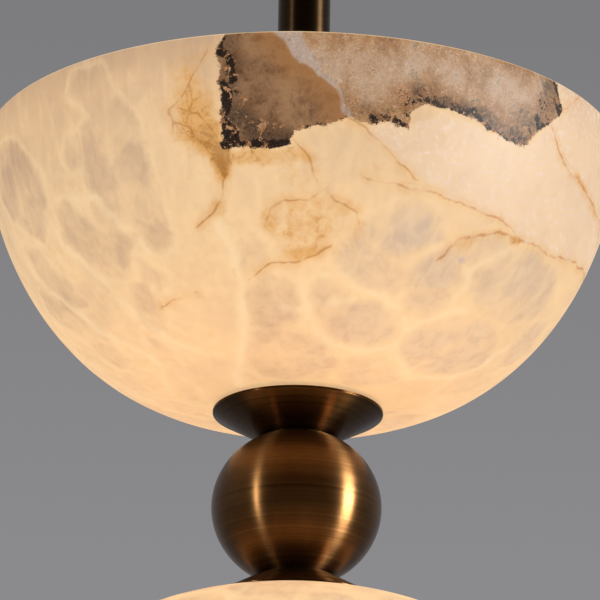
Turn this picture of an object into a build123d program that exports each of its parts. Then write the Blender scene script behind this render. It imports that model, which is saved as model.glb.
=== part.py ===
from build123d import *
import math
import os

# A pendant light of two alabaster shades on a bronze stem, like an hourglass.
# The origin is the centre of the ceiling face, +Z is up, and everything hangs below it.

# Clearances
thread_gap = 0.05
running_gap = 0.06
slip_gap = 0.2
side_gap = 0.05

# Ceiling bracket
bracket_length = 104
bracket_width = 22
bracket_plate = 2.5
bracket_drop = 14
bracket_flange = 28
bracket_middle = 32
slot_spacing = 76
slot_length = 18
slot_width = 5
ear_width = 18
ear_reach = 31

# Hollow stem with its nuts
stem_radius = 5
stem_bore = 3.2
stem_top = 6
stem_foot_radius = 8.3
stem_foot = 3.2
nut_flats = 17
nut_height = 4
window_size = 5.4

# Canopy, its collar and the stop pin
canopy_radius = 60
canopy_height = 34
canopy_wall = 1.5
canopy_shoulder = 9
collar_radius = 18
collar_height = 8
collar_edge = 1.2
stop_pin_radius = 1.2
stop_pin_circle = 15.4
stop_pin_reach = 2.6
stop_pin_grip = 5

# Terminal block, earth screw and the lead in the canopy
block_width = 24
block_length = 14
block_height = 12
block_setback = 16
pole_pitch = 7.5
pole_hole_radius = 1.7
pole_hole_depth = 7
pole_screw_radius = 1.5
pole_screw_length = 5
lead_entry_depth = 3
lead_nut_gap = 0.4
block_screw_radius = 1.5
block_screw_length = 7
block_screw_head_radius = 2.8
block_screw_head = 1.8
block_screw_inset = 4
earth_screw_radius = 2
earth_screw_length = 9
earth_head_radius = 4
earth_head = 2.4
earth_setback = 24
cable_radius = 2.4
lead_bend = 4

# Swivel: yoke, ring nut and trunnions
yoke_radius = 13
yoke_cup_wall = 4.6
yoke_floor = 3.4
yoke_gap = 0.4
ring_head = 3
ring_spigot = 3
ring_tab_width = 3.4
ring_tab_reach = 3.6
pivot_drop = 14
cheek_outside = 10.6
cheek_end_radius = 8.5
washer_thickness = 0.8
washer_radius = 5.5
trunnion_radius = 2.5
trunnion_depth = 2.2
trunnion_head_radius = 4.4
trunnion_head = 2

# Knuckle, rod and its ends
knuckle_width = 12.4
knuckle_end_radius = 7.6
knuckle_bore = 3.2
knuckle_drop = 16
knuckle_thread_radius = 6
knuckle_thread_length = 10
rod_radius = 12.5
rod_wall = 1.5
rod_length = 450
cap_flange = 4
cap_spigot = 12
cap_edge = 1.5
plug_flange = 3
plug_spigot = 14

# Threaded tube through the middle
tube_radius = 5
tube_bore = 3.4
tube_free_length = 13
clamp_nut_height = 7

# Stone shades: outline (r / radius) ^ flank + (depth / full depth) ^ pole = 1
bowl_radius = 150
bowl_depth = 129.4
bowl_flank = 2.84
bowl_pole = 1.64
bowl_wall = 9
bowl_floor = 10
bowl_ground_off = 1
bowl_edge = 1.5
bowl_hole_radius = 6
bowl_outline_steps = 9

# Clamp flanges and gaskets on the stone
flange_radius = 30
flange_thickness = 4
flange_edge = 0.8
inner_gasket = 2
outer_gasket = 1
outer_gasket_radius = 28

# Saucers and ball
saucer_radius = 39.7
saucer_band = 1.5
saucer_height = 13.65
saucer_dish = 1
saucer_spigot = 3
ball_radius = 39.4
ball_half_height = 36.8
ball_neck_height = 33.2
ball_wall = 1.6
spacer_radius = 8

# Lamp carriers, holders and their wires
lamp_count = 3
lamp_circle = 34
carrier_plate = 2
carrier_hub_radius = 14
carrier_arm_width = 12
carrier_pad_radius = 9.6
holder_radius = 9.6
holder_height = 18
holder_edge = 0.8
socket_length = 14.6
socket_width = 8.4
socket_depth = 4
pin_pitch = 9
pin_radius = 0.9
pin_length = 7
pin_hole_depth = 8
holder_screw_radius = 1.5
holder_screw_depth = 5
holder_screw_head_radius = 2.8
holder_screw_head = 1.6
wire_radius = 1.1
wire_hole_radius = 1.7
wire_rise = 13
wire_entry = 7
wire_entry_depth = 2
wire_bend = 2.2
wire_start_gap = 0.3

# Plug-in bulbs
base_height = 9
base_corner = 1.6
bulb_collar_radius = 8.2
bulb_collar = 5
bulb_radius = 7.8
bulb_height = 38
bulb_wall = 1

# Finial under the clamp nut
finial_radius = 9
finial_height = 20
finial_tip_radius = 3
finial_thread = 12

# Heights, worked down from the ceiling
strap_top = -bracket_drop
strap_bottom = strap_top - bracket_plate
collar_top = -canopy_height
collar_bottom = collar_top - collar_height
ring_top = collar_bottom - yoke_gap
yoke_top = ring_top - ring_head
ring_bottom = yoke_top - ring_spigot
foot_top = ring_bottom - running_gap
foot_bottom = foot_top - stem_foot
cup_floor = foot_bottom - slip_gap
yoke_bottom = cup_floor - yoke_floor
pivot = yoke_bottom - pivot_drop
cap_top = pivot - knuckle_drop
rod_top = cap_top - cap_flange
rod_bottom = rod_top - rod_length
carrier_top = rod_bottom - plug_flange
upper_flange_top = carrier_top - carrier_plate
bowl_floor_top = upper_flange_top - flange_thickness - inner_gasket
upper_seat = bowl_floor_top - bowl_floor
saucer_top = upper_seat - outer_gasket
ball_centre = saucer_top - saucer_height - ball_neck_height
bowl_rim = upper_seat + bowl_depth - bowl_ground_off


def mirrored_below(height):
    """The height on the lower half that answers a height on the upper half."""
    return 2 * ball_centre - height


lower_seat = mirrored_below(upper_seat)
lower_carrier_face = mirrored_below(carrier_top)
tube_top = rod_bottom + plug_spigot
clamp_bottom = lower_carrier_face - clamp_nut_height
finial_top = clamp_bottom - tube_free_length
tube_bottom = finial_top - finial_thread + slip_gap


def disc(radius, top, bottom):
    """A solid cylinder on the axis between two heights."""
    middle = (top + bottom) / 2
    return Pos(0, 0, middle) * Cylinder(radius, top - bottom)


def ring(radius, bore, top, bottom):
    """A cylinder on the axis with a bore right through it."""
    return disc(radius, top, bottom) - disc(bore, top + 1, bottom - 1)


def hex_nut(flats, bore, top, bottom):
    """A hexagon nut on the axis."""
    outline = RegularPolygon(flats / 2, 6, major_radius=False)
    nut = Pos(0, 0, bottom) * extrude(outline, top - bottom)
    return nut - disc(bore, top + 1, bottom - 1)


def turned(*points):
    """A solid of revolution about Z, from (radius, height) corners."""
    outline = Polyline(*[(r, 0, z) for r, z in points], close=True)
    return revolve(make_face(outline), Axis.Z)


def at_angle(step, shape):
    """The shape turned about Z to one of the evenly spaced lamp places."""
    return Rot(0, 0, step * 360 / lamp_count) * shape


def below(shape):
    """The shape turned over, from the upper half to the lower half."""
    return Pos(0, 0, 2 * ball_centre) * Rot(180, 0, 0) * shape


def wire(radius, bend, *points):
    """A round wire along straight runs with equal bends, from (x, y, z) points."""
    path = FilletPolyline(*points, radius=bend)
    section = path.location_at(0) * Circle(radius)
    return sweep(section, path=path)


nodes = {}

# Ceiling bracket: the middle of the strap is joggled down to make room for a nut.
half = bracket_length / 2
inner = half - bracket_flange
middle = bracket_middle / 2
strap_line = [
    (-half, 0),
    (-inner, 0),
    (-middle, strap_top),
    (middle, strap_top),
    (inner, 0),
    (half, 0),
]
strap_back = [(x, z - bracket_plate) for x, z in reversed(strap_line)]
strap_face = make_face(Polyline(*[(x, 0, z) for x, z in strap_line + strap_back], close=True))
bracket = extrude(strap_face, bracket_width / 2, both=True)
ear_plate = Box(ear_width, 2 * ear_reach, bracket_plate)
bracket += Pos(0, 0, strap_top - bracket_plate / 2) * ear_plate
bracket = fillet(bracket.edges().filter_by(Axis.Z).group_by(Axis.X)[0], slot_width)
bracket = fillet(bracket.edges().filter_by(Axis.Z).group_by(Axis.X)[-1], slot_width)
slot = extrude(SlotOverall(slot_length, slot_width), 3 * bracket_plate, both=True)
for side in (-1, 1):
    bracket -= Pos(side * slot_spacing / 2, 0, 0) * slot
bracket -= disc(stem_radius + thread_gap, 0, 2 * strap_bottom)
block_middle = block_setback + block_length / 2
screw_seat = block_setback + block_length - block_screw_inset
bracket -= Pos(0, screw_seat, 0) * disc(block_screw_radius + slip_gap, 0, 2 * strap_bottom)
bracket -= Pos(0, -earth_setback, 0) * disc(earth_screw_radius + thread_gap, 0, 2 * strap_bottom)
nodes["ceiling_bracket"] = bracket

# Hollow stem: its flanged foot turns in the yoke, and a window lets the lead out.
stem = disc(stem_radius, -stem_top, foot_top) + disc(stem_foot_radius, foot_top, foot_bottom)
stem -= disc(stem_bore, 0, foot_bottom - 1)
lead_level = strap_bottom - nut_height - lead_nut_gap - cable_radius
window = Box(window_size, 2 * stem_radius, window_size)
stem -= Pos(0, stem_radius, lead_level) * window
nodes["hanger_stem"] = stem

upper_nut = hex_nut(nut_flats, stem_radius + thread_gap, strap_top + nut_height, strap_top)
lower_nut = hex_nut(nut_flats, stem_radius + thread_gap, strap_bottom, strap_bottom - nut_height)
nodes["stem_nuts"] = Compound([upper_nut, lower_nut])

# Canopy: a spun cover with a rounded shoulder, held up by the collar.
canopy = disc(canopy_radius, 0, collar_top)
canopy = fillet(canopy.edges().group_by(Axis.Z)[0], canopy_shoulder)
hollow = disc(canopy_radius - canopy_wall, canopy_wall, collar_top + canopy_wall)
hollow = fillet(hollow.edges().group_by(Axis.Z)[0], canopy_shoulder - canopy_wall)
canopy -= hollow
canopy -= disc(stem_radius + slip_gap, 0, collar_top - 1)
nodes["canopy"] = canopy

collar = disc(collar_radius, collar_top, collar_bottom)
collar = fillet(collar.edges().group_by(Axis.Z)[0], collar_edge)
collar -= disc(stem_radius + thread_gap, collar_top + 1, collar_bottom - 1)
pin_top = collar_bottom + stop_pin_grip
pin_place = Pos(0, -stop_pin_circle, 0)
collar -= pin_place * disc(stop_pin_radius, pin_top, collar_bottom - 1)
nodes["canopy_collar"] = collar
nodes["stop_pin"] = pin_place * disc(stop_pin_radius, pin_top, collar_bottom - stop_pin_reach)

# Terminal block under the strap's ear, with one pole for each core.
block_bottom = strap_bottom - block_height
block_level = strap_bottom - block_height / 2
block = Box(block_width, block_length, block_height)
block = Pos(0, block_middle, block_level) * fillet(block.edges().filter_by(Axis.Z), 1)
entry = Cylinder(cable_radius + slip_gap, 2 * lead_entry_depth, rotation=(90, 0, 0))
block -= Pos(0, block_setback, lead_level) * entry
pole_screws = []
pole_row = block_setback + block_length - pole_hole_depth
for pole in (-1, 0, 1):
    place = Pos(pole * pole_pitch, 0, 0)
    socket = Cylinder(pole_hole_radius, 2 * pole_hole_depth, rotation=(90, 0, 0))
    block -= place * Pos(0, block_setback + block_length, block_level) * socket
    shaft_top = block_bottom + pole_screw_length
    seat = place * Pos(0, pole_row, 0)
    block -= seat * disc(pole_screw_radius, shaft_top, block_bottom - 1)
    pole_screws.append(seat * disc(pole_screw_radius, shaft_top, block_bottom))
screw_place = Pos(0, screw_seat, 0)
screw_tip = strap_top - block_screw_length
block -= screw_place * disc(block_screw_radius, strap_bottom + 1, screw_tip)
nodes["terminal_block"] = block
nodes["terminal_screws"] = Compound(pole_screws)
block_screw = disc(block_screw_radius, strap_top, screw_tip)
block_screw += disc(block_screw_head_radius, strap_top + block_screw_head, strap_top)
nodes["block_screw"] = screw_place * block_screw
earth_screw = disc(earth_screw_radius, strap_bottom + earth_screw_length, strap_bottom)
earth_screw += disc(earth_head_radius, strap_bottom, strap_bottom - earth_head)
nodes["earth_screw"] = Pos(0, -earth_setback, 0) * earth_screw

# Lead: out of the block, through the window and down the stem.
lead_points = [
    (0, block_setback + lead_entry_depth, lead_level),
    (0, 0, lead_level),
    (0, 0, foot_bottom),
]
nodes["canopy_lead"] = wire(cable_radius, lead_bend, *lead_points)

# Ring nut: screwed into the yoke over the stem's foot, with a tab for the stop pin.
cup_radius = stem_foot_radius + running_gap
spigot = ring(cup_radius, stem_radius + running_gap, yoke_top, ring_bottom)
ring_nut = ring(yoke_radius, stem_radius + running_gap, ring_top, yoke_top) + spigot
tab = Box(ring_tab_width, ring_tab_reach, ring_head)
ring_nut += Pos(0, yoke_radius + ring_tab_reach / 2 - 1, (ring_top + yoke_top) / 2) * tab
nodes["swivel_ring_nut"] = ring_nut

# Yoke: a cup that holds the foot, and two cheeks that hold the knuckle.
knuckle_half = knuckle_width / 2
cheek_inside = knuckle_half + washer_thickness + 2 * side_gap
yoke = disc(yoke_radius, yoke_top, yoke_bottom)
cheek_height = yoke_bottom - pivot
cheek_blank = disc(yoke_radius, yoke_bottom, pivot - cheek_end_radius)
long_rod = Cylinder(cheek_end_radius, 2 * yoke_radius, rotation=(0, 90, 0))
web = Pos(0, 0, cheek_height / 2) * Box(2 * yoke_radius, 2 * cheek_end_radius, cheek_height)
cheek_shape = Pos(0, 0, pivot) * (long_rod + web)
cheeks = cheek_blank & cheek_shape
cheeks -= Pos(0, 0, pivot) * Box(2 * cheek_inside, 4 * yoke_radius, 4 * yoke_radius)
flat_limit = Pos(0, 0, pivot) * Box(2 * cheek_outside, 4 * yoke_radius, 4 * yoke_radius)
cheeks = cheeks & flat_limit
yoke += cheeks
yoke -= disc(cup_radius, yoke_top + 1, cup_floor)
yoke -= disc(knuckle_bore, yoke_top, yoke_bottom - 1)
yoke -= Pos(0, 0, pivot) * Cylinder(trunnion_radius, 4 * yoke_radius, rotation=(0, 90, 0))
nodes["swivel_yoke"] = yoke

# Trunnion screws and washers, on the tilting axis.
screws = []
washers = []
shank_inner = knuckle_half - trunnion_depth
for side in (-1, 1):
    shank_length = cheek_outside - shank_inner
    shank = Cylinder(trunnion_radius, shank_length, rotation=(0, 90, 0))
    head = Cylinder(trunnion_head_radius, trunnion_head, rotation=(0, 90, 0))
    screw = Pos(side * (shank_inner + shank_length / 2), 0, 0) * shank
    screw += Pos(side * (cheek_outside + trunnion_head / 2), 0, 0) * head
    screws.append(Pos(0, 0, pivot) * screw)
    washer = Cylinder(washer_radius, washer_thickness, rotation=(0, 90, 0))
    washer -= Cylinder(trunnion_radius + slip_gap, 2 * washer_thickness, rotation=(0, 90, 0))
    washer_middle = cheek_inside - side_gap - washer_thickness / 2
    washers.append(Pos(side * washer_middle, 0, pivot) * washer)
nodes["trunnion_screws"] = Compound(screws)
nodes["knuckle_washers"] = Compound(washers)

# Knuckle: hollow, so that the cable passes between the trunnions.
lug_height = pivot - cap_top
lug = Pos(0, 0, -lug_height / 2) * Box(knuckle_width, 2 * knuckle_end_radius, lug_height)
lug += Cylinder(knuckle_end_radius, knuckle_width, rotation=(0, 90, 0))
lug -= Cylinder(trunnion_radius + running_gap, 2 * knuckle_width, rotation=(0, 90, 0))
knuckle = Pos(0, 0, pivot) * lug
knuckle_foot = cap_top - knuckle_thread_length
knuckle += disc(knuckle_thread_radius, cap_top, knuckle_foot)
knuckle -= disc(knuckle_bore, pivot + 2 * knuckle_end_radius, knuckle_foot - 1)
nodes["knuckle"] = knuckle

# Rod: a plain tube with a turned cap at the top and a plug at the foot.
rod_bore = rod_radius - rod_wall
cap_blank = disc(rod_radius, cap_top, rod_top)
cap = fillet(cap_blank.edges().group_by(Axis.Z)[-1], cap_edge)
cap += disc(rod_bore - thread_gap, rod_top, rod_top - cap_spigot)
cap -= disc(knuckle_thread_radius + thread_gap, cap_top + 1, rod_top - cap_spigot - 1)
nodes["rod_cap"] = cap
lead_hole_level = rod_bottom + plug_spigot + wire_hole_radius + 1
rod = ring(rod_radius, rod_bore, rod_top, rod_bottom)
rod_hole = Cylinder(wire_hole_radius, rod_radius, rotation=(0, 90, 0))
for step in range(lamp_count):
    rod -= at_angle(step, Pos(rod_radius, 0, lead_hole_level) * rod_hole)
nodes["down_rod"] = rod
plug = disc(rod_radius, rod_bottom, carrier_top)
plug += disc(rod_bore - thread_gap, rod_bottom + plug_spigot, rod_bottom)
plug -= disc(tube_radius + thread_gap, rod_bottom + plug_spigot + 1, carrier_top - 1)
nodes["rod_end_plug"] = plug

# Tube through the stones, the saucers and the ball, with holes for the lower wires.
tube = ring(tube_radius, tube_bore, tube_top, tube_bottom)
tube_hole_level = clamp_bottom - tube_free_length / 2
tube_hole = Cylinder(wire_hole_radius, tube_radius, rotation=(0, 90, 0))
for step in range(lamp_count):
    tube -= at_angle(step, Pos(tube_radius, 0, tube_hole_level) * tube_hole)
nodes["through_tube"] = tube
nodes["rod_cable"] = disc(cable_radius, pivot, tube_hole_level - cable_radius)


def bowl_curve(radius, depth, last_depth):
    """One side of a shade's outline, from the rim down to a given depth."""
    last = math.asin((last_depth / depth) ** (bowl_pole / 2))
    points = []
    for step in range(bowl_outline_steps + 1):
        angle = last * step / bowl_outline_steps
        reach = radius * math.cos(angle) ** (2 / bowl_flank)
        points.append((reach, 0, -depth * math.sin(angle) ** (2 / bowl_pole)))
    return points


def stone_shade():
    """An open stone bowl with its rim at height 0, flat inside and out at the clamp."""
    seat_depth = bowl_depth - bowl_ground_off
    floor_depth = seat_depth - bowl_floor
    pad = flange_radius + 1
    inner_radius = bowl_radius - bowl_wall
    pad_depth = floor_depth * (1 - (pad / inner_radius) ** bowl_flank) ** (1 / bowl_pole)
    outside = bowl_curve(bowl_radius, bowl_depth, seat_depth)
    inside = bowl_curve(inner_radius, floor_depth, pad_depth)
    outer_line = Spline(*outside)
    inner_line = Spline(*inside)
    rim_line = Line(outside[0], inside[0])
    corners = [
        outside[-1],
        (bowl_hole_radius, 0, -seat_depth),
        (bowl_hole_radius, 0, -floor_depth),
        (pad, 0, -floor_depth),
        inside[-1],
    ]
    foot_line = Polyline(*corners)
    section = make_face([outer_line, foot_line, inner_line, rim_line])
    shade = revolve(section, Axis.Z)
    return fillet(shade.edges().group_by(Axis.Z)[-1], bowl_edge)


# Both shades are the same stone form. The upper one opens up, the lower one down.
upper_bowl = Pos(0, 0, bowl_rim) * stone_shade()
nodes["upper_bowl"] = upper_bowl
nodes["lower_dome"] = below(upper_bowl)

# Clamp flanges and gaskets, inside and outside the stone.
flange = disc(flange_radius, upper_flange_top, upper_flange_top - flange_thickness)
flange = fillet(flange.edges().group_by(Axis.Z)[-1], flange_edge)
flange -= disc(tube_radius + slip_gap, upper_flange_top + 1, upper_seat)
nodes["upper_inner_flange"] = flange
nodes["lower_inner_flange"] = below(flange)
soft_ring = ring(flange_radius, tube_radius + slip_gap, bowl_floor_top + inner_gasket, bowl_floor_top)
nodes["upper_inner_gasket"] = soft_ring
nodes["lower_inner_gasket"] = below(soft_ring)
seat_ring = ring(outer_gasket_radius, tube_radius + slip_gap, upper_seat, saucer_top)
nodes["upper_outer_gasket"] = seat_ring
nodes["lower_outer_gasket"] = below(seat_ring)

# Saucer: a turned cone with a narrow band at its rim and a spigot into the ball.
neck_share = math.sqrt(1 - (ball_neck_height / ball_half_height) ** 2)
neck_radius = ball_radius * neck_share
inner_share = math.sqrt(1 - (ball_neck_height / (ball_half_height - ball_wall)) ** 2)
spigot_radius = (ball_radius - ball_wall) * inner_share - slip_gap
saucer_foot = saucer_top - saucer_height
saucer = turned(
    (tube_radius + slip_gap, saucer_top),
    (outer_gasket_radius + saucer_dish, saucer_top),
    (outer_gasket_radius + 2 * saucer_dish, saucer_top - saucer_dish),
    (saucer_radius - 2 * saucer_dish, saucer_top - saucer_dish),
    (saucer_radius - saucer_dish, saucer_top),
    (saucer_radius, saucer_top),
    (saucer_radius, saucer_top - saucer_band),
    (neck_radius, saucer_foot),
    (spigot_radius, saucer_foot),
    (spigot_radius, saucer_foot - saucer_spigot),
    (tube_radius + slip_gap, saucer_foot - saucer_spigot),
)
nodes["upper_saucer"] = saucer
nodes["lower_saucer"] = below(saucer)

# Ball: a hollow spun body, slightly flattened, open at both necks, over a spacer.
outer_oval = Plane.XZ * Ellipse(ball_radius, ball_half_height)
inner_oval = Plane.XZ * Ellipse(ball_radius - ball_wall, ball_half_height - ball_wall)
keep = Plane.XZ * Pos(ball_radius, 0) * Rectangle(2 * ball_radius, 2 * ball_neck_height)
ball_section = (outer_oval - inner_oval) & keep
nodes["ball"] = Pos(0, 0, ball_centre) * revolve(ball_section, Axis.Z)
spacer_top = saucer_foot - saucer_spigot
spacer_bottom = mirrored_below(spacer_top)
nodes["ball_spacer"] = ring(spacer_radius, tube_radius + slip_gap, spacer_top, spacer_bottom)

# Lamp carriers: three-armed plates, each arm with a pad for a lamp holder.
carrier_middle = carrier_top - carrier_plate / 2
carrier = disc(carrier_hub_radius, carrier_top, upper_flange_top)
screw_hole = disc(holder_screw_radius + slip_gap, carrier_top + 1, upper_flange_top - 1)
for step in range(lamp_count):
    arm = Pos(lamp_circle / 2, 0, carrier_middle) * Box(lamp_circle, carrier_arm_width, carrier_plate)
    pad = Pos(lamp_circle, 0, 0) * disc(carrier_pad_radius, carrier_top, upper_flange_top)
    carrier += at_angle(step, arm + pad)
for step in range(lamp_count):
    carrier -= at_angle(step, Pos(lamp_circle, 0, 0) * screw_hole)
carrier -= disc(tube_radius + slip_gap, carrier_top + 1, upper_flange_top - 1)
nodes["upper_lamp_carrier"] = carrier
nodes["lower_lamp_carrier"] = below(carrier)

# Lamp holders: ceramic, with a recess and two pin holes. Wires enter at the side.
holder_top = carrier_top + holder_height
socket_floor = holder_top - socket_depth
holder = disc(holder_radius, holder_top, carrier_top)
holder = fillet(holder.edges().group_by(Axis.Z)[-1], holder_edge)
holder -= Pos(0, 0, holder_top) * Box(socket_width, socket_length, 2 * socket_depth)
for side in (-1, 1):
    pin_place = Pos(0, side * pin_pitch / 2, 0)
    holder -= pin_place * disc(pin_radius + slip_gap, socket_floor + 1, socket_floor - pin_hole_depth)
screw_bore = disc(holder_screw_radius + thread_gap, carrier_top + holder_screw_depth, carrier_top - 1)
holder -= screw_bore
entry_level = carrier_top + wire_entry
side_entry = Cylinder(wire_radius + slip_gap, 2 * wire_entry_depth, rotation=(0, 90, 0))
holder -= Pos(-holder_radius, 0, entry_level) * side_entry
holder_screw = disc(holder_screw_radius, carrier_top + holder_screw_depth, upper_flange_top)
holder_screw += disc(holder_screw_head_radius, upper_flange_top, upper_flange_top - holder_screw_head)

# Wires: from the cable through the rod, or through the tube, to each holder.
wire_start = cable_radius + wire_start_gap
wire_end = lamp_circle - holder_radius + wire_entry_depth
wire_turn = (rod_radius + wire_end) / 2
upper_points = [
    (wire_start, 0, lead_hole_level),
    (wire_turn, 0, lead_hole_level),
    (wire_turn, 0, entry_level),
    (wire_end, 0, entry_level),
]
upper_wire = wire(wire_radius, wire_bend, *upper_points)
lower_turn = (tube_radius + wire_end) / 2
lower_entry = mirrored_below(entry_level)
lower_points = [
    (wire_start, 0, tube_hole_level),
    (lower_turn, 0, tube_hole_level),
    (lower_turn, 0, lower_entry),
    (wire_end, 0, lower_entry),
]

# Bulb: a base with two pins and a collar, and a thin glass capsule.
base_bottom = socket_floor
base_top = base_bottom + base_height
bulb_top = base_top + bulb_collar + bulb_height
base = Box(socket_width - 4 * slip_gap, socket_length - 4 * slip_gap, base_height)
base = fillet(base.edges().filter_by(Axis.Z), base_corner)
base = Pos(0, 0, base_bottom + base_height / 2) * base
base += disc(bulb_collar_radius, base_top + bulb_collar, base_top)
for side in (-1, 1):
    base += Pos(0, side * pin_pitch / 2, 0) * disc(pin_radius, base_bottom, base_bottom - pin_length)


def capsule(radius, top, bottom):
    """A cylinder with a round end at the top."""
    body = disc(radius, top - radius, bottom)
    return body + Pos(0, 0, top - radius) * Sphere(radius)


glass_bottom = base_top + bulb_collar
glass = capsule(bulb_radius, bulb_top, glass_bottom)
glass -= capsule(bulb_radius - bulb_wall, bulb_top - bulb_wall, glass_bottom - 1)

upper_wires = []
lower_wires = []
upper_screws = []
lower_screws = []
lamp_place = Pos(lamp_circle, 0, 0)
for step in range(lamp_count):
    number = step + 1
    nodes[f"upper_lamp_holder_{number}"] = at_angle(step, lamp_place * holder)
    nodes[f"lower_lamp_holder_{number}"] = at_angle(step, lamp_place * below(holder))
    nodes[f"upper_bulb_base_{number}"] = at_angle(step, lamp_place * base)
    nodes[f"lower_bulb_base_{number}"] = at_angle(step, lamp_place * below(base))
    nodes[f"upper_bulb_glass_{number}"] = at_angle(step, lamp_place * glass)
    nodes[f"lower_bulb_glass_{number}"] = at_angle(step, lamp_place * below(glass))
    upper_screws.append(at_angle(step, lamp_place * holder_screw))
    lower_screws.append(at_angle(step, lamp_place * below(holder_screw)))
    upper_wires.append(at_angle(step, upper_wire))
    lower_wires.append(at_angle(step, wire(wire_radius, wire_bend, *lower_points)))
nodes["upper_holder_screws"] = Compound(upper_screws)
nodes["lower_holder_screws"] = Compound(lower_screws)
nodes["upper_holder_wires"] = Compound(upper_wires)
nodes["lower_holder_wires"] = Compound(lower_wires)

# Clamp nut under the lower carrier, and the finial that closes the tube.
nodes["clamp_nut"] = hex_nut(nut_flats, tube_radius + thread_gap, lower_carrier_face, clamp_bottom)
finial_end = finial_top - finial_height
finial = disc(finial_radius, finial_top, finial_end)
finial = fillet(finial.edges().group_by(Axis.Z)[0], finial_radius - finial_tip_radius)
finial -= disc(tube_radius + thread_gap, finial_top + 1, finial_top - finial_thread)
nodes["finial"] = finial

os.makedirs("parts", exist_ok=True)
for name, shape in nodes.items():
    export_step(shape, f"parts/{name}.step")
print(len(nodes), "nodes")
print("bowl rim", bowl_rim, "ball centre", ball_centre, "finial end", finial_end)
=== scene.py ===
import math

import bpy
import numpy as np
from mathutils import Matrix, Vector


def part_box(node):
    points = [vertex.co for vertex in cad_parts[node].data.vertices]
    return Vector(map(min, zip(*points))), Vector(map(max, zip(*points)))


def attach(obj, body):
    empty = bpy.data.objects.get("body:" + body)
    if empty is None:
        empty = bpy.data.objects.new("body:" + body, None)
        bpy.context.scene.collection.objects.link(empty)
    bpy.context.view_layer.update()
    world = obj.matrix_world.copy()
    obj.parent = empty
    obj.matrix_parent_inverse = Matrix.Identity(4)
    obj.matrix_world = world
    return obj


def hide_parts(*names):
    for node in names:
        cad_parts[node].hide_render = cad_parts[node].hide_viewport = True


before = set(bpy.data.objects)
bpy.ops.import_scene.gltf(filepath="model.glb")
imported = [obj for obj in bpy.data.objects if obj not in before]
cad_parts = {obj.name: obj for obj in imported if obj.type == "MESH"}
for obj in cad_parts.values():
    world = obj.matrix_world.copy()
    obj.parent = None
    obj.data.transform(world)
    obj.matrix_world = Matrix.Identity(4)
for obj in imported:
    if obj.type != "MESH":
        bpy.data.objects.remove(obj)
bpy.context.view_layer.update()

# Camera
# It stands below the light and looks up at it, as the photograph does, with a
# long lens and a slight roll. It is aimed between the bowl and the ball.
rim_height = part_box("upper_bowl")[1][2]
camera_distance = 2.357
camera_drop_angle = math.radians(21.52)
sight_rise = math.radians(19.83)
sight_turn = math.radians(0.004)
camera_roll = math.radians(0.9)
camera_lens = 297.8

eye = Vector((0, -math.cos(camera_drop_angle), -math.sin(camera_drop_angle))) * camera_distance
eye.z += rim_height
sight = Vector((
    math.sin(sight_turn) * math.cos(sight_rise),
    math.cos(sight_turn) * math.cos(sight_rise),
    math.sin(sight_rise),
))
level_right = sight.cross(Vector((0, 0, 1))).normalized()
level_up = level_right.cross(sight)
camera_right = math.cos(camera_roll) * level_right + math.sin(camera_roll) * level_up
camera_up = math.cos(camera_roll) * level_up - math.sin(camera_roll) * level_right
bpy.ops.object.select_all(action="DESELECT")
bpy.ops.object.camera_add()
camera = bpy.context.object
camera.name = "camera"
camera.data.lens = camera_lens
camera.data.sensor_width = 36
camera.matrix_world = Matrix((
    (camera_right.x, camera_up.x, -sight.x, eye.x),
    (camera_right.y, camera_up.y, -sight.y, eye.y),
    (camera_right.z, camera_up.z, -sight.z, eye.z),
    (0, 0, 0, 1),
))
bpy.context.scene.camera = camera

# Canopy
# A spun brass cup with a rounded shoulder that hides the bracket. It is finished
# in the same brushed, dark patinated bronze as the rest of the metalwork.


def fill(node, inputs):
    """Gives a node's inputs their values, or links them from sockets."""
    for key, value in inputs.items():
        if isinstance(value, bpy.types.NodeSocket):
            node.id_data.links.new(value, node.inputs[key])
        else:
            node.inputs[key].default_value = value


def add_node(tree, kind, inputs=None, **settings):
    """A shader node with its settings; inputs are values, or sockets to link from."""
    made = tree.nodes.new("ShaderNode" + kind)
    for key, value in settings.items():
        setattr(made, key, value)
    fill(made, inputs or {})
    return made


def calc(operation, *values):
    """A Math node's result from values or sockets, in the tree of its first socket."""
    tree = next(value.id_data for value in values if isinstance(value, bpy.types.NodeSocket))
    inputs = dict(enumerate(values))
    return add_node(tree, "Math", inputs, operation=operation).outputs[0]


def blend(*parts):
    """The sum of some values, each times its share; parts are (value, share)."""
    total = 0.0
    for value, share in reversed(parts):
        total = calc("MULTIPLY_ADD", value, share, total)
    return total


def linear(red, green, blue):
    """A colour written in 0 to 255, as linear light with its alpha."""
    return (*(((v / 255 + 0.055) / 1.055) ** 2.4 for v in (red, green, blue)), 1.0)


def ramp(value, stops):
    """A colour ramp's result; stops are (place, grey, or a colour in 0 to 255)."""
    made = add_node(value.id_data, "ValToRGB", {0: value})
    points = made.color_ramp.elements
    while len(points) < len(stops):
        points.new(1)
    for point, (place, colour) in zip(points, stops):
        point.position = place
        grey = isinstance(colour, float)
        point.color = (colour, colour, colour, 1) if grey else linear(*colour)
    return made.outputs[0]


def noise(vector, scale, detail, roughness, distortion=0.0):
    """A noise texture's value between 0 and 1; the scale is per metre of its vector."""
    inputs = {0: vector, "Scale": scale, "Detail": detail}
    inputs.update({"Roughness": roughness, "Distortion": distortion})
    return add_node(vector.id_data, "TexNoise", inputs).outputs[0]


def object_place(tree, scale=(1, 1, 1)):
    """The point's place on the piece in metres, stretched by a scale."""
    place = add_node(tree, "TexCoord").outputs["Object"]
    return add_node(tree, "Mapping", {0: place, 3: scale}).outputs[0]


def relief(height, strength, depth):
    """The normal of a bumpy skin; the depth is in metres."""
    inputs = {"Strength": strength, "Distance": depth, "Height": height}
    return add_node(height.id_data, "Bump", inputs).outputs[0]


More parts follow.
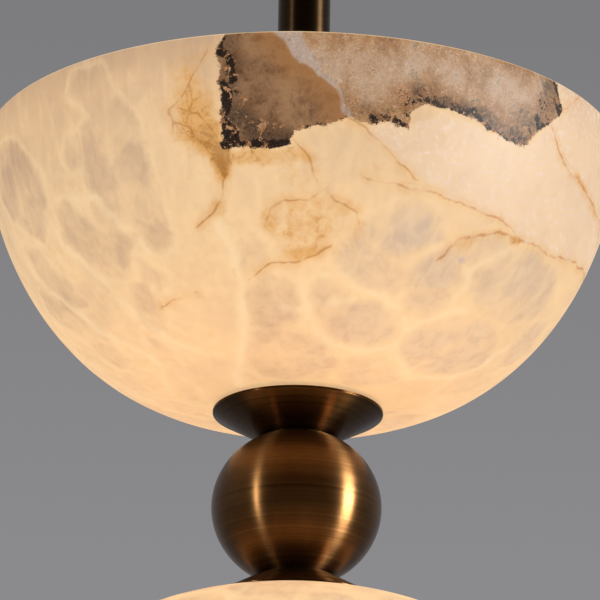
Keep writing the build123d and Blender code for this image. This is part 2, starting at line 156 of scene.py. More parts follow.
def new_material(name):
    """A new material, its node tree and its shader."""
    material = bpy.data.materials.new(name)
    material.use_nodes = True
    return material, material.node_tree, material.node_tree.nodes["Principled BSDF"]


def brushing_group():
    """Fine rings round the axis from brushing on the lathe: a broad and a fine set."""
    group = bpy.data.node_groups.new("lathe_brushing", "ShaderNodeTree")
    for way, labels in (("INPUT", ("Lines", "Wander")), ("OUTPUT", ("Streaks", "Height"))):
        for label in labels:
            group.interface.new_socket(label, in_out=way, socket_type="NodeSocketFloat")
    given = group.nodes.new("NodeGroupInput").outputs
    place = add_node(group, "TexCoord").outputs["Object"]
    parts = add_node(group, "SeparateXYZ", {0: place}).outputs
    across = calc("MULTIPLY", parts["X"], given["Wander"])
    along = calc("MULTIPLY", parts["Y"], given["Wander"])
    rings = calc("MULTIPLY", parts["Z"], given["Lines"])
    spun = add_node(group, "CombineXYZ", {0: across, 1: along, 2: rings}).outputs[0]
    broad = noise(spun, 0.22, 3.0, 0.6)
    fine = noise(spun, 1.0, 5.0, 0.75)
    result = group.nodes.new("NodeGroupOutput")
    fill(result, {"Streaks": blend((broad, 0.5), (fine, 0.5)), "Height": fine})
    return group


lathe_brushing = brushing_group()
brushing_wander = 9.0
bronze_dark = (80, 54, 30)
bronze_warm = (134, 96, 56)


def bronze_finish(name, lines, rough, swing, dark=bronze_dark, warm=bronze_warm, pull=0.8):
    """Dark patinated bronze, brushed on the lathe.

    lines are rings per metre, swing is how far the roughness goes up and down in them,
    and pull draws the highlights out across them.
    """
    material, tree, shader = new_material(name)
    inputs = {"Lines": lines, "Wander": brushing_wander}
    brushing = add_node(tree, "Group", inputs, node_tree=lathe_brushing).outputs
    patina = noise(object_place(tree), 34.0, 4.0, 0.6, 0.4)
    spots = blend((brushing["Streaks"], 0.9), (patina, 0.4))
    roughness = ramp(brushing["Streaks"], [(0.3, rough - swing), (0.75, rough + swing)])
    rings = add_node(tree, "Tangent", direction_type="RADIAL", axis="Z")
    fill(shader, {
        "Base Color": ramp(spots, [(0.46, dark), (0.88, warm)]),
        "Metallic": 1.0,
        "Roughness": roughness,
        "Anisotropic": pull,
        "Anisotropic Rotation": 0.25,
        "Tangent": rings.outputs[0],
        "Normal": relief(brushing["Height"], 0.12, 0.00004),
    })
    return material


def turned(name, outline, material, *turns):
    """A solid of revolution: the outline is drawn point by point and turned about Z.

    outline is a closed run of (radius, height); turns are (degrees, steps), one after the
    other from the right and round by the back.
    """
    parts = []
    bearing = 0.0
    for degrees, steps in turns:
        east, north = math.cos(math.radians(bearing)), math.sin(math.radians(bearing))
        bpy.ops.object.select_all(action="DESELECT")
        bpy.ops.mesh.primitive_plane_add(size=0.001)
        piece = bpy.context.object
        bpy.ops.object.mode_set(mode="EDIT")
        bpy.ops.mesh.merge(type="CENTER")
        radius, height = outline[0]
        bpy.ops.transform.translate(value=(radius * east, radius * north, height))
        for start, end in zip(outline, [*outline[1:], outline[0]]):
            reach = end[0] - start[0]
            step = (reach * east, reach * north, end[1] - start[1])
            bpy.ops.mesh.extrude_region_move(TRANSFORM_OT_translate={"value": step})
        bpy.ops.object.mode_set(mode="OBJECT")
        bpy.ops.object.modifier_add(type="SCREW")
        screw = piece.modifiers[-1]
        screw.angle = math.radians(degrees)
        screw.steps = screw.render_steps = steps
        bpy.ops.object.modifier_apply(modifier=screw.name)
        parts.append(piece)
        bearing += degrees
    for part in parts:
        part.select_set(True)
    if len(parts) > 1:
        bpy.ops.object.join()
    piece = bpy.context.object
    piece.name = name
    bpy.ops.object.mode_set(mode="EDIT")
    bpy.ops.mesh.select_all(action="SELECT")
    bpy.ops.mesh.remove_doubles(threshold=1e-6)
    bpy.ops.mesh.normals_make_consistent(inside=False)
    bpy.ops.object.mode_set(mode="OBJECT")
    piece.data.materials.append(material)
    bpy.ops.object.shade_smooth_by_angle(angle=math.radians(35))
    return piece


def arc(centre, radius, start, end, steps):
    """Points on a round stretch of an outline, by angles in degrees."""
    points = []
    for step in range(steps + 1):
        angle = math.radians(start + (end - start) * step / steps)
        points.append((centre[0] + radius * math.cos(angle), centre[1] + radius * math.sin(angle)))
    return points


canopy_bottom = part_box("canopy")[0][2]
canopy_radius = 0.060
canopy_wall = 0.0015
canopy_shoulder = 0.009
canopy_hole = 0.0052
shoulder_centre = (canopy_radius - canopy_shoulder, canopy_bottom + canopy_shoulder)
shoulder_steps = 12
canopy_outline = [
    (canopy_radius, 0.0),
    *arc(shoulder_centre, canopy_shoulder, 0, -90, shoulder_steps),
    (canopy_hole, canopy_bottom),
    (canopy_hole, canopy_bottom + canopy_wall),
    *arc(shoulder_centre, canopy_shoulder - canopy_wall, -90, 0, shoulder_steps),
    (canopy_radius - canopy_wall, 0.0),
]
canopy_bronze = bronze_finish("canopy_bronze", lines=900, rough=0.34, swing=0.05)
canopy = turned("canopy_cover", canopy_outline, canopy_bronze, (360, 128))
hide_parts("canopy")
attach(canopy, "ceiling_mount")

# Stone shades
# Two bowls turned from alabaster, 9 mm thick, joined foot to foot: the upper one
# opens up, the lower one down. Lit from inside, the stone shows its cells and veins;
# that light through the stone is painted on as an emissive glow.
stone_radius = 0.150
stone_depth = 0.1294
stone_flank = 2.84
stone_pole = 1.64
stone_wall = 0.009
stone_floor = 0.010
stone_ground_off = 0.001
stone_rim_round = 0.0015
stone_hole = 0.006
stone_pad = 0.031
stone_row = 0.00135
hollow_row_share = 5
round_steps = 5
mm = 1000


def side_curve(radius, depth, start, end, count):
    """A shade's side between two angles: radii, depths, and the way run along it.

    The side is (radius / rim radius) ** flank + (depth / pole depth) ** pole = 1.
    """
    angles = np.linspace(start, end, count)
    reach = radius * np.cos(angles) ** (2 / stone_flank)
    fall = depth * np.sin(angles) ** (2 / stone_pole)
    run = np.concatenate([[0], np.cumsum(np.hypot(np.diff(reach), np.diff(fall)))])
    return reach, fall, run


def stone_side(radius, depth, first, last):
    """Evenly spaced points (radius, depth) down one side of a shade, between two depths."""
    start = math.asin((first / depth) ** (stone_pole / 2))
    end = math.asin((last / depth) ** (stone_pole / 2))
    reach, fall, run = side_curve(radius, depth, start, end, 3000)
    places = np.linspace(0, run[-1], max(int(run[-1] / stone_row), 2))
    return list(zip(np.interp(places, run, reach), np.interp(places, run, fall)))


def shade_outline():
    """The closed outline of a shade as (radius, depth below its rim)."""
    seat = stone_depth - stone_ground_off
    floor = seat - stone_floor
    inner = stone_radius - stone_wall
    pad_depth = floor * (1 - (stone_pad / inner) ** stone_flank) ** (1 / stone_pole)
    outside = stone_side(stone_radius, stone_depth, stone_rim_round, seat)
    inside = stone_side(inner, floor, stone_rim_round, pad_depth)[::-hollow_row_share]
    out_centre = (stone_radius - stone_rim_round, -stone_rim_round)
    in_centre = (inner + stone_rim_round, -stone_rim_round)
    round_out = arc(out_centre, stone_rim_round, 90, 0, round_steps)
    round_in = arc(in_centre, stone_rim_round, 180, 90, round_steps)
    points = [(r, -z) for r, z in round_out[:-1]] + outside
    points += [(stone_hole, seat), (stone_hole, floor), (stone_pad, floor)]
    return points + inside + [(r, -z) for r, z in round_in[1:]]


def run_down(depths):
    """The way along the outside of a shade from the rim to a depth, both in millimetres."""
    curve = side_curve(mm * stone_radius, mm * stone_depth, 0, math.pi / 2, 4000)
    return np.interp(depths, curve[1], curve[2])


class StonePlace:
    """Where each vertex of a shade lies: degrees round from the front, and millimetres down.

    Both wander a little, so that the outlines and veins drawn with them aren't straight.
    """

    far = 1e3
    hollow_gap, rim_top, seat_margin = 3, 0.7, 0.1
    waves = ((0.8, 17, 0.4), (0.40, 9.5, 2.1), (0.26, 5.3, 4.4), (0.20, 3.1, 1.2))
    front_degree = 2.6
    oval_reach, oval_fade = 1.35, 0.75

    def __init__(self, piece, rim, way):
        spots = np.empty(len(piece.data.vertices) * 3)
        piece.data.vertices.foreach_get("co", spots)
        x, y, z = spots.reshape(-1, 3).T * mm
        self.reach = np.maximum(np.hypot(x, y), 1.0)
        depth = np.clip((rim * mm - z) * way, 0, mm * stone_depth)
        self.run = run_down(depth)

        # The hollow side lies a few millimetres in from the outline. The rim's top counts
        # as part of it, and the ground seat doesn't.
        share = np.clip(1 - (depth / (mm * stone_depth)) ** stone_pole, 0, 1)
        outline = mm * stone_radius * share ** (1 / stone_flank)
        hollow = (outline - self.reach > self.hollow_gap) | (depth < self.rim_top)
        seat = mm * (stone_depth - stone_ground_off)
        self.inside = (hollow & (depth <= seat - self.seat_margin)).astype(float)

        # A wave is (size, length, phase), in millimetres and radians.
        round_way = np.zeros(len(x))
        down_way = np.zeros(len(x))
        for size, length, phase in self.waves:
            pace = 2 * math.pi / length
            swell = np.sin(pace * (0.7 * x + 0.5 * z + 0.4 * y) + phase)
            round_way += size * swell * np.cos(pace * (0.3 * x - 0.8 * z) + phase)
            swell = np.sin(pace * (0.6 * z - 0.6 * x + 0.5 * y) + 2 * phase)
            down_way += size * swell * np.cos(pace * (0.5 * y + 0.4 * x) - phase)
        self.turn = np.degrees(np.arctan2(x, -y) + round_way / self.reach)
        self.down = self.run + down_way

    def across(self, turn):
        """Millimetres round the surface from a bearing to each vertex."""
        gap = (self.turn - turn + 180) % 360 - 180
        return np.radians(gap) * self.reach

    def to_lines(self, lines):
        """For lines of (width, points): the gap, the gap with its side, and half the width."""
        gap = np.full(len(self.turn), self.far)
        side = gap.copy()
        half = np.zeros(len(gap))
        for width, points in lines:
            for (turn_a, down_a), (turn_b, down_b) in zip(points, points[1:]):
                ax, ay = self.across(turn_a), self.down - down_a
                bx = np.radians(turn_b - turn_a) * self.reach
                by = down_b - down_a
                share = np.clip((ax * bx + ay * by) / (bx * bx + by * by + 1e-9), 0, 1)
                away = np.hypot(ax - share * bx, ay - share * by)
                nearer = away < gap
                gap = np.where(nearer, away, gap)
                side = np.where(nearer, np.where(ax * by > ay * bx, away, -away), side)
                half = np.where(nearer, width / 2, half)
        return gap, side, half

    def to_edge(self, points):
        """The distance from each vertex to a closed outline, positive inside it."""
        around = points + [points[0]]
        gap = (self.turn - points[0][0] + 180) % 360 - 180 + points[0][0]
        inside = np.zeros(len(gap), bool)
        for (turn_a, down_a), (turn_b, down_b) in zip(around, around[1:]):
            crosses = (down_a > self.down) != (down_b > self.down)
            height = (down_b - down_a) if down_b != down_a else 1e-9
            inside ^= crosses & (gap < turn_a + (self.down - down_a) / height * (turn_b - turn_a))
        return np.where(inside, 1, -1) * self.to_lines([(0, around)])[0]

    def to_cells(self, cells):
        """For cells of (strength, outline): the distance to the nearest edge, and its strength."""
        best = np.full(len(self.turn), -self.far)
        tone = np.zeros(len(best))
        for strength, points in cells:
            edge = self.to_edge(points)
            nearer = edge > best
            best = np.where(nearer, edge, best)
            tone = np.where(nearer, strength, tone)
        return best, tone

    def in_ovals(self, ovals):
        """A soft mask of ovals, each (degrees, millimetres, half width, half height, strength).

        A half width is in degrees of the front, which are about 2.6 mm each.
        """
        total = np.zeros(len(self.turn))
        for turn, down, half_width, half_height, strength in ovals:
            wide = half_width * self.front_degree
            away = np.hypot(self.across(turn) / wide, (self.down - down) / half_height)
            soft = np.clip((self.oval_reach - away) / self.oval_fade, 0, 1)
            total = np.maximum(total, strength * soft)
        return total

    def along_lines(self, lines):
        """A soft mask of lines, each (strength, width, fade at both sides, points)."""
        total = np.zeros(len(self.turn))
        for strength, width, fade, points in lines:
            gap = self.to_lines([(0, points)])[0]
            soft = np.clip((width / 2 + fade - gap) / fade, 0, 1)
            total = np.maximum(total, strength * soft)
        return total


def store(piece, name, values):
    """Keeps one number for each vertex for the material to read."""
    layer = piece.data.attributes.new(name, "FLOAT", "POINT")
    layer.data.foreach_set("value", np.asarray(values, np.float32))


# Each place is (degrees round from the front, millimetres down from the rim). Gold and
# white veins are (width, places), cells are (strength, outline), ore and smoke are
# (strength, width, fade, places), haze and blue are ovals, and the rest are outlines.
upper_marks = {}
lower_marks = {"cells": [], "blue": []}
upper_marks["gold"] = [
    (0.5, [(7, 38), (12, 43), (15, 49), (19, 57), (22, 62)]),
    (0.5, [(12.5, 65), (16.5, 66), (21, 66.5), (26, 67.5), (31, 68.5), (35, 70.5), (41, 70),
        (47, 72.5), (52, 76)]),
    (0.6, [(52, 76), (57.5, 75), (63, 75), (72.5, 70), (80, 67), (86, 63.5), (96, 60), (106, 52)]),
    (1.8, [(49.5, 76), (52, 76.5)]),
    (0.9, [(52, 76), (46, 76.5), (39.5, 81), (36, 85.5), (34, 91.5), (33, 96.5)]),
    (0.5, [(50, 22), (52, 27), (56, 33.5), (60, 38)]),
    (1.0, [(60, 38), (65.5, 38.5)]),
    (0.5, [(65.5, 38.5), (73, 41.5), (80.5, 43.5), (88, 48)]),
    (0.4, [(-18, 14), (-20.5, 22), (-19.5, 30), (-21, 37)]),
    (0.6, [(-22, 33), (-19, 36), (-17.5, 42), (-15.5, 46)]),
    (0.4, [(-19.5, 47), (-17.8, 52), (-16, 55)]),
    (0.4, [(-23, 41), (-21, 46), (-18, 50)]),
    (2.6, [(-15.3, 52), (-15.8, 60), (-15, 64)]),
    (0.6, [(-15, 65), (-16, 73), (-18.2, 79.5), (-22, 85.5)]),
    (0.7, [(-17, 8), (-19, 17), (-21, 23.5), (-22, 28.5), (-24.8, 32.5), (-24, 41.5)]),
    (0.6, [(-24, 38.5), (-21.5, 40), (-19.5, 47.5), (-17, 49), (-15.3, 51.5)]),
    (0.5, [(-1.5, 50), (1.2, 57.5), (2.2, 62), (3.2, 68)]),
    (0.4, [(4.8, 70.5), (1.5, 76.5), (-3.2, 76.5), (-6.2, 81), (-7.5, 88)]),
    (0.4, [(4.8, 70.5), (6.5, 76), (11.2, 80), (12.2, 85.5)]),
    (0.5, [(-12.2, 112.5), (-7, 107), (-1, 105.5), (4.2, 102.5), (6.5, 97)]),
    (0.3, [(-40, 121), (-34, 119), (-28, 118)]),
    (0.5, [(52.5, 11.5), (54.2, 10), (56.2, 6.5), (58, 1)]),
]
upper_marks["white"] = [
    (3.6, [(-17.5, 84), (-16.8, 94), (-15.2, 102.5), (-15.2, 116.5), (-16, 127), (-19.5, 144.5)]),
    (2.4, [(-19.5, 144), (-24, 156), (-30, 168), (-42, 182)]),
    (1.6, [(6, 112), (10, 110), (15, 118), (21, 120), (26, 122), (31, 128), (34.5, 137)]),
    (2.0, [(34.5, 137), (38, 129), (44, 120), (48, 116)]),
    (1.4, [(34.5, 137), (35, 146), (30, 151), (22, 154), (12, 151), (6, 146)]),
    (1.2, [(35, 146), (42, 154), (52, 159)]),
    (1.2, [(0, 112), (1, 124), (3, 134), (6, 144)]),
    (1.2, [(42, 116), (44, 104), (42, 98), (46, 90), (51, 80)]),
    (1.4, [(76, 118), (78, 134), (72, 150), (58, 162)]),
    (0.9, [(-5, 128), (0, 130)]),
    (0.9, [(8.5, 127), (12.5, 125), (14.5, 123)]),
    (1.4, [(-50, 60), (-44, 64), (-40, 80), (-36, 94)]),
    (1.4, [(-60, 70), (-56, 88), (-52, 104), (-50, 124)]),
    (1.4, [(-78, 76), (-70, 108), (-66, 128), (-60, 148)]),
    (1.4, [(-52, 110), (-46, 140), (-38, 152)]),
]
upper_marks["cells"] = [
    (1.0, [(-13, 119.5), (-9.2, 114.5), (-5.2, 116), (-2.2, 120), (-1, 128), (-1.8, 137),
        (-7.5, 141.5), (-13.8, 139), (-14.5, 130)]),
    (0.8, [(-15.8, 145.5), (-8.8, 144.5), (-2, 148), (3.2, 149.5), (10.5, 155.5), (17.5, 166.5),
        (12.8, 176.5), (-1.5, 180), (-18.5, 176), (-23.2, 166.5), (-20, 155)]),
    (1.0, [(3.2, 120), (5.2, 115), (8.5, 116.5), (12.2, 121.5), (12.8, 127.5), (9.2, 131.5),
        (5.5, 130.5), (3.5, 125)]),
    (0.9, [(13.8, 132), (15.2, 127), (20, 125), (24.8, 126.5), (30.5, 132), (32.5, 139),
        (29.8, 147), (23, 150), (14, 148), (8.5, 140.5), (8, 134.5)]),
    (0.85, [(8.5, 104), (9.5, 96.5), (12, 91.5), (14.8, 96.5), (19, 102), (23.2, 105.5),
        (25.5, 110), (25.8, 115), (21.2, 116.5), (15.5, 114), (10.8, 111)]),
    (1.15, [(17.5, 84), (19.5, 76.5), (23.8, 74), (27.8, 76), (30.2, 80.5), (31, 87.5), (28.5, 91),
        (25.2, 95), (23, 99.5), (19.2, 95.5), (17.5, 90)]),
    (0.8, [(12.8, 87.5), (14.3, 84), (17, 84.5), (17.5, 90), (15.5, 92)]),
    (0.85, [(26.3, 104.5), (29.8, 98), (34, 92.5), (37.8, 97), (40.5, 103), (38.5, 109.5),
        (33.2, 112), (28.2, 110)]),
    (0.75, [(44, 101.5), (47, 91.5), (51.5, 82), (59.3, 79), (69.5, 80), (76.2, 88.5), (75, 98.5),
        (67.2, 108), (57.5, 112.5), (49, 109)]),
    (0.95, [(38.5, 147), (36.5, 137.5), (39.5, 129.5), (45.8, 122.5), (54.8, 119), (65.2, 119.5),
        (72.2, 124.5), (75.8, 133), (71.8, 143.5), (61, 152.5), (49.2, 156)]),
    (0.75, [(29.2, 119.5), (33.5, 113.5), (39.5, 112), (41, 118), (37.5, 124.5), (31.8, 125.5)]),
    (0.75, [(33.8, 91.5), (37.5, 84), (44.8, 79), (50.3, 78), (47, 86.5), (41.8, 94.5),
        (38.2, 93)]),
    (0.6, [(-13.5, 98), (-10.5, 93.5), (-8.5, 97.5), (-8.8, 104.5), (-12, 109), (-14.3, 106.5)]),
    (0.6, [(22, 160), (32, 155), (42, 160), (50, 166), (46, 176), (34, 180), (24, 174)]),
    (0.7, [(79, 104), (84, 96), (90, 100), (92, 114), (86, 124), (80, 118)]),
    (0.7, [(77, 148), (80, 132), (86, 130), (92, 138), (90, 150), (82, 156)]),
    (1.05, [(-70.8, 20), (-64.5, 24.5), (-61, 35), (-59, 45), (-59.3, 54.5), (-61.8, 63.5),
        (-66, 68), (-69.2, 60), (-74.2, 49.5), (-77.2, 39)]),
    (0.7, [(-47.8, 36.5), (-45.5, 34.5), (-44, 37.5), (-45.5, 45), (-47.8, 46), (-48.8, 41.5)]),
    (0.95, [(-43.5, 32), (-40, 28.5), (-37.5, 33.5), (-38.2, 37.5), (-40.2, 43.5), (-39.2, 51),
        (-37.2, 59), (-37.2, 68.5), (-37.2, 76.5), (-40, 76.5), (-42.8, 69), (-44.2, 58.5),
        (-44, 48), (-44, 39)]),
    (1.0, [(-38.2, 29.5), (-36.2, 26), (-34.5, 24.5), (-33.8, 29.5), (-35.2, 35.5), (-37.8, 36.5)]),
    (1.15, [(-37.5, 40.5), (-35, 37), (-32.2, 32.5), (-31.3, 39), (-30.8, 48), (-30.8, 59.5),
        (-30.2, 71.5), (-30.2, 79.5), (-29.5, 87), (-31, 92.5), (-35, 92), (-35.2, 83.5),
        (-36.6, 76.5), (-36.6, 65.5), (-37, 53)]),
    (0.95, [(-55.8, 61), (-53.2, 61.5), (-49.8, 71), (-46.8, 80), (-44.2, 85), (-41.8, 90),
        (-43, 97), (-46.5, 100.5), (-49.8, 97.5), (-52.2, 89.5), (-56, 82), (-57.2, 72)]),
    (0.7, [(-45.2, 67.5), (-43.2, 72.5), (-41, 81), (-39.2, 86.5), (-41.8, 87.5), (-45, 80)]),
    (0.85, [(-44.5, 107), (-41.8, 108.5), (-41.2, 116.5), (-42.5, 125), (-46, 131), (-49.2, 130.5),
        (-48.5, 122)]),
    (0.85, [(-75.5, 66.5), (-70.5, 73.5), (-68, 83.5), (-65.5, 95), (-64.8, 104), (-68.8, 102.5),
        (-73, 93.5), (-75.5, 81.5)]),
    (0.8, [(-82.2, 87), (-74.8, 95), (-72.2, 104.5), (-71.8, 112.5), (-77.8, 112.5), (-83.2, 103),
        (-85, 92)]),
    (0.6, [(-39.2, 97.5), (-37.2, 101), (-35, 107), (-36.8, 110.5), (-39.8, 105)]),
    (0.5, [(-43.8, 6), (-38, 8.5), (-36.5, 16.5), (-37.5, 25.5), (-41.2, 22), (-44.5, 14)]),
    (0.6, [(-74, 114), (-70, 124), (-72.5, 137), (-79.5, 135.5), (-81, 126)]),
    (0.5, [(-51.8, 132.5), (-51.2, 143.5), (-55, 153.5), (-58.2, 147.5)]),
    (0.4, [(-64, 157), (-70, 170), (-84.8, 178), (-81, 168)]),
]
upper_marks["mineral"] = [
    (-13.5, -6), (-13.5, 1), (-15.5, 10.5), (-14.5, 15.5), (-15.2, 27), (-14.5, 31.5), (-15, 36.5),
    (-15, 42), (-14.5, 48.5), (-15.2, 53.5), (-11.2, 52), (-8, 54), (-2.5, 52), (-1.2, 46),
    (3.2, 43), (6.5, 41), (8.2, 39), (10.8, 41), (12.2, 41), (15.5, 39.5), (19.8, 42), (19.5, 33),
    (22.2, 29), (25.2, 30.5), (28.2, 29.5), (32.2, 31), (35.8, 33.5), (39.8, 36.5), (42.5, 37),
    (44, 36), (45.2, 34), (45.8, 29.5), (47.5, 26), (50.3, 20), (52.2, 15.5), (52.8, 12),
    (51.8, 8), (50.5, 0.5), (50, -6),
]
upper_marks["brown"] = [
    (-18, -6), (-7, -6), (-4.8, 2), (-2.8, 7.5), (-0.8, 13.5), (1.5, 18), (3.7, 22), (5.5, 26.5),
    (6.8, 31.5), (7.2, 36), (8.4, 40), (4, 46), (-2, 58), (-18, 60),
]
upper_marks["streak"] = [
    (-7, -6), (0, -6), (0.2, 2), (0.8, 7.5), (2, 13.5), (3.7, 19.5), (5.5, 23.5), (6.6, 27.5),
    (7.8, 33), (9.4, 38.5), (8.8, 41), (8.2, 39), (7, 36), (6.6, 31.5), (5.3, 26.5), (3.5, 22),
    (1.3, 18), (-1, 13.5), (-3, 7.5), (-5, 2),
]
upper_marks["ore"] = [
    (1.0, 1.5, 2.4, [(-14.3, 2.5), (-14.3, 9.5)]), (0.8, 1.6, 2.4, [(-13.2, 9), (-13, 13)]),
    (0.9, 1.8, 3.0, [(-12.9, 15.5), (-12.4, 21.5)]),
    (1.0, 2.7, 2.4, [(-14, 25), (-13.6, 30), (-13.4, 35)]),
    (0.55, 0.8, 2.0, [(-14.6, 36), (-14.4, 41)]), (0.5, 1.6, 3.0, [(-11.6, 27), (-10.8, 31)]),
    (1.0, 3.6, 2.8, [(-13.7, 41.5), (-13.2, 47.5), (-12.6, 51)]),
    (1.0, 2.4, 2.4, [(-14.4, 45), (-14.6, 53)]),
    (0.85, 1.8, 3.6, [(-13, 51.5), (-9.5, 52), (-5, 52), (-2.8, 51)]),
    (0.40, 5.0, 6.0, [(-11, 39), (-8, 44.5), (-3.5, 47)]), (0.5, 0.6, 2.0, [(-13, 1), (-8.5, 1)]),
    (0.5, 0.6, 1.6, [(-1.2, 45.5), (3.2, 42.6), (8.2, 38.6)]),
    (0.66, 2.2, 3.0, [(12.4, 38), (15, 38.2), (18.8, 40)]),
    (0.5, 2.0, 5.0, [(19, 35), (18.5, 29), (17.2, 25)]),
    (0.7, 1.2, 3.5, [(20, 28.5), (21.5, 26), (24.5, 28.5), (27, 30.5), (30.5, 28.5)]),
    (0.5, 1.0, 6.0, [(21, 24), (26, 27), (31, 27)]), (0.85, 1.3, 3.0, [(31.5, 27), (33, 29.5)]),
    (0.7, 1.0, 2.2, [(34, 31), (38, 35), (41, 36.5)]),
    (0.66, 1.8, 4.0, [(42, 35.5), (44, 34.5), (44.8, 29)]),
    (0.95, 1.8, 2.5, [(46.4, 21), (47.5, 25), (49.5, 22.5)]),
    (0.8, 1.4, 2.5, [(51.2, 11), (52.2, 14.5)]),
    (0.8, 1.0, 2.5, [(50.2, -2), (51, 5), (52, 11)]),
    (0.45, 4.0, 6.0, [(46.5, 13), (48, 18), (49.6, 11)]),
]
upper_marks["smoke"] = [
    (0.95, 4.5, 7.0, [(-12.5, 36), (-10, 43), (-8, 49), (-3, 50)]),
    (0.5, 2.0, 6.0, [(-13, 4), (-12, 16), (-13, 28)]),
    (0.75, 2.0, 7.0, [(20.5, 25), (26, 28), (32, 28), (38, 32), (43, 33)]),
    (0.50, 6.0, 7.0, [(42, 24), (46, 22), (49, 12), (49, 2)]),
    (0.4, 1.0, 6.0, [(9, 35), (14, 36), (18, 32)]),
]
upper_marks["pale"] = [
    (9, 40), (14, 48), (18, 52), (20, 58), (25, 63.5), (31, 68.5), (36, 70), (42, 70), (47, 72.5),
    (52, 76), (60, 74.5), (67, 73), (73, 70), (80, 67), (88, 62), (106, 52), (106, -6), (50, -6),
    (52, 14), (45, 36), (38, 35), (26, 31), (19, 40),
]
upper_marks["haze"] = [
    (1, 87, 6.4, 15, 0.5), (6, 79, 5.0, 8, 0.4), (10, 88, 3.6, 9, 0.35), (0.5, 101, 3.2, 4.0, 0.9),
    (-6.5, 86, 1.8, 8, 0.6), (-19.5, 37, 3.6, 17, 0.85), (-17.6, 46, 3.4, 8, 1.3),
    (-21, 28, 3.2, 22, 0.5), (-15.4, 56, 1.8, 9, 1.8), (-20.5, 44, 3.6, 5, 0.8),
    (-10, 57, 6, 4.5, 0.8), (-3.5, 57, 5, 4, 0.7), (50.5, 76.5, 2.0, 2.4, 0.8),
    (37, 84, 3.0, 6, 0.4), (63, 38, 4, 2, 0.7), (75, 43, 4, 3, 0.4), (14, 62, 4, 5, 0.2),
    (45, 77, 3, 1.6, 0.5), (-1, 66, 3, 6, 0.35), (55, 8, 2, 4, 0.3), (-17, 76, 2, 8, 0.5),
]
upper_marks["blue"] = [
    (38.8, 93.5, 0.7, 1.6, 1.0), (40.2, 92, 0.4, 1.0, 0.7), (24, 84, 4.5, 12, 0.42),
    (35, 98, 5, 12, 0.38), (60, 92, 8, 14, 0.38),
]

lower_marks["gold"] = [
    (0.6, [(-60, 60), (-48, 72), (-30, 80), (-16, 96), (4, 104), (20, 100)]),
    (0.5, [(30, 30), (38, 44), (54, 52), (62, 70), (80, 84), (104, 88)]),
    (0.8, [(150, 26), (140, 44), (146, 66), (128, 84), (120, 110)]),
    (0.5, [(-140, 40), (-130, 60), (-112, 66), (-100, 84)]),
]
lower_marks["white"] = [
    (1.8, [(-20, 178), (-26, 160), (-14, 140), (-18, 118)]),
    (1.8, [(20, 182), (14, 160), (26, 146), (44, 140), (60, 120)]),
    (1.6, [(-70, 170), (-58, 146), (-66, 120), (-50, 100)]),
    (1.6, [(100, 160), (112, 140), (104, 118), (124, 96)]),
    (1.6, [(-120, 160), (-132, 132), (-120, 108)]),
    (1.6, [(170, 150), (180, 126), (168, 100)]),
    (1.8, [(0, 12), (-4, 40), (2, 70), (-2, 96)]),
]
lower_marks["mineral"] = [
    (140, -6), (140, 8), (143, 20), (149, 27), (157, 25), (164, 16), (170, -6),
]
lower_marks["brown"] = [(138, -6), (139, 8), (143, 24), (154, 28), (156, 10), (156, -6)]
lower_marks["streak"] = [(155, -6), (158, -6), (157.5, 10), (153.5, 25), (153, 24), (155.5, 10)]
lower_marks["ore"] = [
    (1.0, 3.0, 3.0, [(141, -4), (142, 10), (146, 20)]),
    (0.5, 1.5, 4.0, [(150, 24), (158, 21), (165, 10)]),
]
lower_marks["smoke"] = [(0.9, 5.0, 8.0, [(142, 0), (144, 14), (149, 22)])]
lower_marks["pale"] = [
    (30, -6), (30, 30), (38, 44), (54, 52), (62, 70), (80, 84), (104, 88), (112, 40), (110, -6),
]
lower_marks["haze"] = [(142, 40, 3, 12, 0.5), (4, 103, 4, 4, 0.6), (-46, 73, 4, 4, 0.4)]


def mixed(factor, first, second, way="MIX"):
    """The colour between two colours, by a factor."""
    inputs = {0: factor, 6: first, 7: second}
    settings = {"data_type": "RGBA", "blend_type": way}
    return add_node(factor.id_data, "Mix", inputs, **settings).outputs[2]


def mask(value, low, high):
    """0 below low, 1 above high, and a smooth change between; high may be below low."""
    first, last = sorted((low, high))
    inputs = {0: value, 1: first, 2: last, 3: float(high < low), 4: float(high >= low)}
    made = add_node(value.id_data, "MapRange", inputs, interpolation_type="SMOOTHSTEP")
    return made.outputs[0]


def shifted(value, *pushes):
    """A field pushed up and down by noises about their middle; pushes are (noise, amount)."""
    for push, amount in pushes:
        value = calc("ADD", value, calc("MULTIPLY", calc("SUBTRACT", push, 0.5), amount))
    return value


def product(first, *others):
    """The product of some values."""
    for other in others:
        first = calc("MULTIPLY", first, other)
    return first


class Layers:
    """A colour built up from a base, layer by layer; factors are masks and a strength."""

    def __init__(self, base):
        self.seen = base

    def over(self, colour, *factors):
        """Lays a colour over what is there: a socket, or a colour in 0 to 255."""
        if not isinstance(colour, bpy.types.NodeSocket):
            colour = linear(*colour)
        self.seen = mixed(product(*factors), self.seen, colour)

    def through(self, tint, *factors):
        """Filters what is there through a colour, given as the share of light that passes."""
        self.seen = mixed(product(*factors), self.seen, tint, "MULTIPLY")


